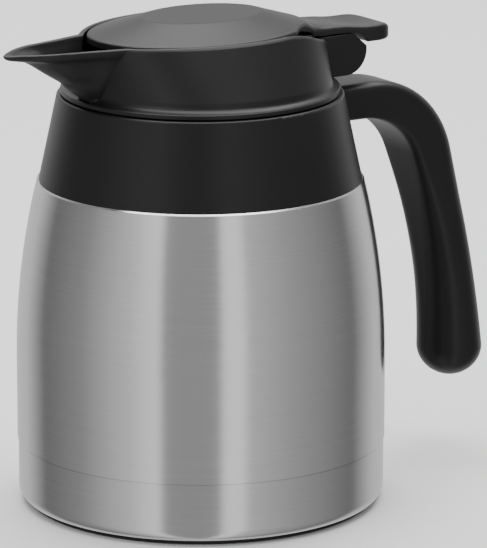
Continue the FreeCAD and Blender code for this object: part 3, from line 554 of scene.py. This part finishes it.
def brushed_steel(name, shade, roughness):
    """Steel brushed round the axis: fine level lines that draw reflections out upwards."""
    made = material(name, (shade, shade, shade * 1.01), 1.0, roughness, Anisotropic=0.7,
                    Anisotropic_Rotation=0.25)
    lines = noise(made, 25, (1, 1, 160), 3)
    tint(made, lines, (shade * 0.97,) * 3, (shade * 1.02,) * 3)
    vary(made, "Roughness", lines, roughness - 0.02, roughness + 0.03)
    bump(made, lines, 0.02, 0.0001)
    tangent = made.node_tree.nodes.new("ShaderNodeTangent")
    tangent.direction_type = "RADIAL"
    tangent.axis = "Z"
    made.node_tree.links.new(tangent.outputs["Tangent"],
                             made.node_tree.nodes["Principled BSDF"].inputs["Tangent"])
    return made


def satin_plastic(name, shade, roughness, grain=0.06):
    made = material(name, (shade, shade, shade * 1.04), 0.0, roughness, Specular_IOR_Level=0.3)
    cloud = noise(made, 30, detail=2)
    tint(made, cloud, (shade * 0.9, shade * 0.9, shade * 0.94), (shade * 1.1,) * 3)
    skin = noise(made, 2600, detail=3)
    vary(made, "Roughness", skin, roughness - 0.03, roughness + 0.04)
    bump(made, skin, grain, 0.00005)
    return made


def silicone(name, shade):
    made = material(name, (shade, shade, shade * 0.98), 0.0, 0.6)
    cloud = noise(made, 120, detail=3)
    tint(made, cloud, (shade * 0.9,) * 3, (shade * 1.05, shade * 1.05, shade * 1.02))
    bump(made, noise(made, 1500), 0.05, 0.00005)
    return made


def plain_metal(name, shade, roughness):
    made = material(name, (shade, shade, shade), 1.0, roughness)
    marks = noise(made, 300, (1, 1, 8), 5)
    tint(made, marks, (shade * 0.9,) * 3, (shade * 1.05,) * 3)
    vary(made, "Roughness", marks, roughness - 0.05, roughness + 0.08)
    bump(made, marks, 0.04, 0.00005)
    return made


FINISHES = {
    "body_steel": brushed_steel("body_steel", 0.64, 0.2),
    "base_steel": brushed_steel("base_steel", 0.62, 0.2),
    "liner_steel": brushed_steel("liner_steel", 0.6, 0.2),
    "foil": plain_metal("foil", 0.85, 0.25),
    "getter": plain_metal("getter", 0.3, 0.5),
    "sealing_bead": plain_metal("sealing_bead", 0.2, 0.4),
    "foot_rubber": satin_plastic("foot_rubber", 0.012, 0.7, 0.15),
    "collar_plastic": satin_plastic("collar_plastic", 0.009, 0.36),
    "silicone": silicone("silicone", 0.55),
    "spring_steel": plain_metal("spring_steel", 0.6, 0.3),
    "handle_plastic": satin_plastic("handle_plastic", 0.008, 0.34),
    "handle_cover_plastic": satin_plastic("handle_cover_plastic", 0.008, 0.4),
    "screw_steel": plain_metal("screw_steel", 0.55, 0.35),
    "lid_plastic": satin_plastic("lid_plastic", 0.010, 0.36),
    "stopper_plastic": satin_plastic("stopper_plastic", 0.03, 0.4),
    "inner_plastic": satin_plastic("inner_plastic", 0.6, 0.35),
    "pin_steel": plain_metal("pin_steel", 0.6, 0.2),
    "lever_plastic": satin_plastic("lever_plastic", 0.012, 0.4),
}


def finish_piece(thing, slot):
    thing.data.materials.clear()
    thing.data.materials.append(FINISHES[slot])


# ---------------------------------------------------------------- the pieces

for entry in frame["record"]["subparts"]:
    finish_piece(frame["nodes"][entry["node"]], entry["material_slot"])

for thing, slot in ((make_handle(), "handle_plastic"), (make_lid_body(), "lid_plastic"),
                    (make_lever(), "lever_plastic"), (make_spring(), "spring_steel")):
    finish_piece(thing, slot)


# ---------------------------------------------------------------- camera, floor and light

CAMERA_PLACE = (-0.9273, -1.4017, 0.5096)
CAMERA_HEADING = math.atan2(CAMERA_PLACE[1], CAMERA_PLACE[0])
# bearing from the camera in degrees, positive to the right, and how bright the wall is there
WALLS = [(-180, 0.8), (-140, 0.8), (-115, 0.2), (-80, 0.35), (-45, 0.8), (-27, 1.25), (-23, 0.4),
         (11, 0.4), (15, 1.25), (26, 1.25), (30, 0.7), (60, 0.45), (110, 0.2), (137, 0.8),
         (180, 0.8)]


def make_camera():
    data = bpy.data.cameras.new("camera")
    data.lens = 323.9
    data.clip_end = 20
    data.dof.use_dof = False
    camera = bpy.data.objects.new("camera", data)
    camera.location = CAMERA_PLACE
    camera.rotation_euler = (math.pi / 2 - 0.25, 0, math.radians(-34))
    bpy.context.scene.collection.objects.link(camera)
    bpy.context.scene.camera = camera


def make_floor():
    """A pale floor, kept out of mirror reflections so that the steel shows the studio's walls."""
    mesh = bpy.data.meshes.new("floor")
    side = 6.0
    mesh.from_pydata([(-side, -side, 0), (side, -side, 0), (side, side, 0), (-side, side, 0)], [],
                     [(0, 1, 2, 3)])
    floor = bpy.data.objects.new("floor", mesh)
    floor.visible_glossy = False
    bpy.context.scene.collection.objects.link(floor)
    pale = material("floor_pale", (0.86, 0.86, 0.86), 0.0, 0.6)
    tint(pale, noise(pale, 3), (0.85, 0.85, 0.85), (0.87, 0.87, 0.87))
    mesh.materials.append(pale)


def make_light(name, position, size, power):
    """A square softbox that faces the object."""
    data = bpy.data.lights.new(name, "AREA")
    data.shape = "RECTANGLE"
    data.size, data.size_y = size, size
    data.energy = power
    light = bpy.data.objects.new(name, data)
    light.location = position
    aim = Vector((0, 0, 0.09)) - Vector(position)
    light.rotation_euler = aim.to_track_quat("-Z", "Y").to_euler()
    bpy.context.scene.collection.objects.link(light)


def round_the_axis(bearing, distance, height):
    """A place seen from the object at a bearing from the camera, positive to the right."""
    heading = CAMERA_HEADING + math.radians(bearing)
    return (distance * math.cos(heading), distance * math.sin(heading), height)


def make_world():
    """A studio whose walls go from bright to dark round the object."""
    world = bpy.data.worlds.new("studio")
    world.use_nodes = True
    nodes, links = world.node_tree.nodes, world.node_tree.links
    direction = nodes.new("ShaderNodeTexCoord")
    facing = nodes.new("ShaderNodeMapping")
    facing.inputs["Rotation"].default_value = (0, 0, -CAMERA_HEADING)
    parts = nodes.new("ShaderNodeSeparateXYZ")
    bearing = nodes.new("ShaderNodeMath")
    bearing.operation = "ARCTAN2"
    share = nodes.new("ShaderNodeMapRange")
    share.inputs["From Min"].default_value = -math.pi
    share.inputs["From Max"].default_value = math.pi
    walls = nodes.new("ShaderNodeValToRGB")
    stops = walls.color_ramp.elements
    for k, (degrees, shade) in enumerate(WALLS):
        stop = stops[k] if k < 2 else stops.new(1.0)
        stop.position = 0.5 + degrees / 360
        stop.color = (shade, shade, shade, 1)
    links.new(direction.outputs["Generated"], facing.inputs["Vector"])
    links.new(facing.outputs["Vector"], parts.inputs["Vector"])
    links.new(parts.outputs["Y"], bearing.inputs[0])
    links.new(parts.outputs["X"], bearing.inputs[1])
    links.new(bearing.outputs["Value"], share.inputs["Value"])
    links.new(share.outputs["Result"], walls.inputs["Fac"])
    links.new(walls.outputs["Color"], nodes["Background"].inputs["Color"])
    nodes["Background"].inputs["Strength"].default_value = 1.0
    bpy.context.scene.world = world


make_camera()
make_floor()
make_world()
make_light("top_softbox", round_the_axis(170, 0.4, 1.7), 2.0, 60)
make_light("front_softbox", round_the_axis(-40, 1.8, 1.6), 1.2, 6)
